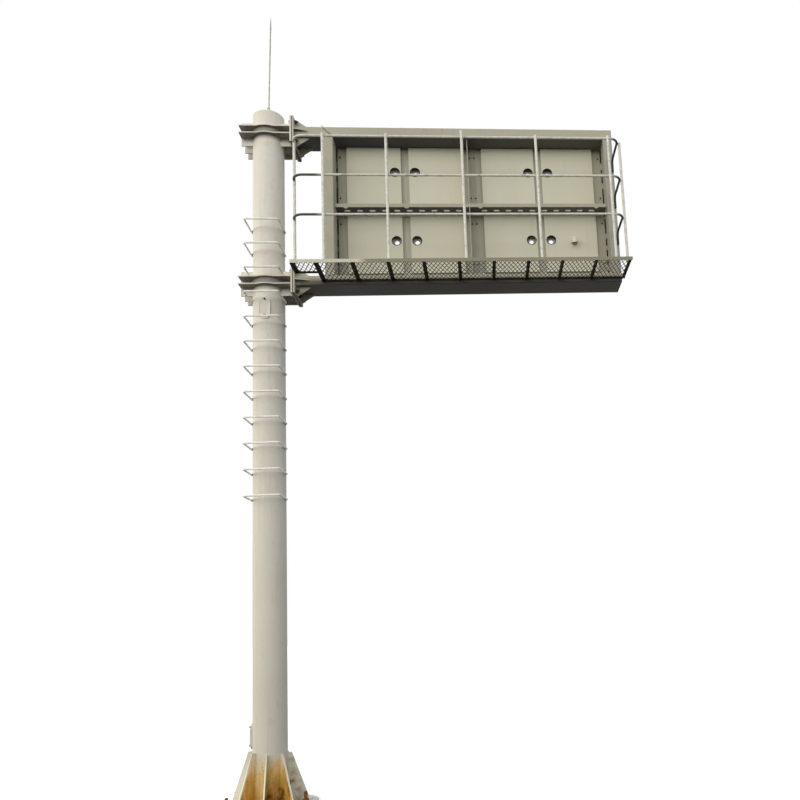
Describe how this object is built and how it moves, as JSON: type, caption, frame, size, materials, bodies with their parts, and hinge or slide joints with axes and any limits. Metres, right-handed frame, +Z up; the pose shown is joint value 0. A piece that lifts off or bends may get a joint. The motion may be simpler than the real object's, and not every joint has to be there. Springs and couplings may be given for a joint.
{
  "type": "cantilever sign gantry",
  "caption": "Round mast with climbing rungs carrying two clamped box arms, an open frame of sign modules and a railed mesh walkway.",
  "frame": {"origin": "centre of the base plate's underside, on the mast's axis", "axes": "+Z up, +X along the arms away from the mast, +Y from the walkway side to the sign's face"},
  "size_m": [4.6949, 1.18, 9.3447],
  "materials": {
    "mast_paint": "satin cream paint, rust-stained at the foot",
    "frame_paint": "matt khaki-grey paint",
    "module_paint": "matt grey-green paint",
    "walkway_steel": "weathered dark steel",
    "galvanized": "dull zinc"
  },
  "bodies": {
    "root": {"base_plate": "mast_paint", "base_gussets": "mast_paint", "mast_tube": "mast_paint", "mast_cap": "mast_paint", "upper_access_cover": "mast_paint", "lower_access_cover": "mast_paint", "upper_front_saddle": "mast_paint", "upper_rear_saddle": "mast_paint", "lower_front_saddle": "mast_paint", "lower_rear_saddle": "mast_paint", "upper_mast_flange": "mast_paint", "lower_mast_flange": "mast_paint", "module_vent": "mast_paint", "upper_arm_flange": "frame_paint", "upper_arm_gussets": "frame_paint", "upper_arm": "frame_paint", "lower_arm_flange": "frame_paint", "lower_arm_gussets": "frame_paint", "lower_arm": "frame_paint", "arm_end_plates": "frame_paint", "near_post": "frame_paint", "far_post": "frame_paint", "side_cleats": "frame_paint", "centre_mullion": "frame_paint", "slotted_rails": "frame_paint", "walkway_edge": "frame_paint", "module_top_1": "module_paint", "module_top_2": "module_paint", "module_top_3": "module_paint", "module_top_4": "module_paint", "module_bottom_1": "module_paint", "module_bottom_2": "module_paint", "module_bottom_3": "module_paint", "module_bottom_4": "module_paint", "walkway_bearers": "walkway_steel", "walkway_ledgers": "walkway_steel", "floor_mesh_near": "walkway_steel", "floor_mesh_middle": "walkway_steel", "floor_mesh_far": "walkway_steel", "lightning_rod": "galvanized", "climbing_rungs": "galvanized", "top_rail": "galvanized", "middle_rail": "galvanized", "bottom_rail": "galvanized", "rail_posts": "galvanized", "rail_stays": "galvanized"}
  },
  "joints": []
}
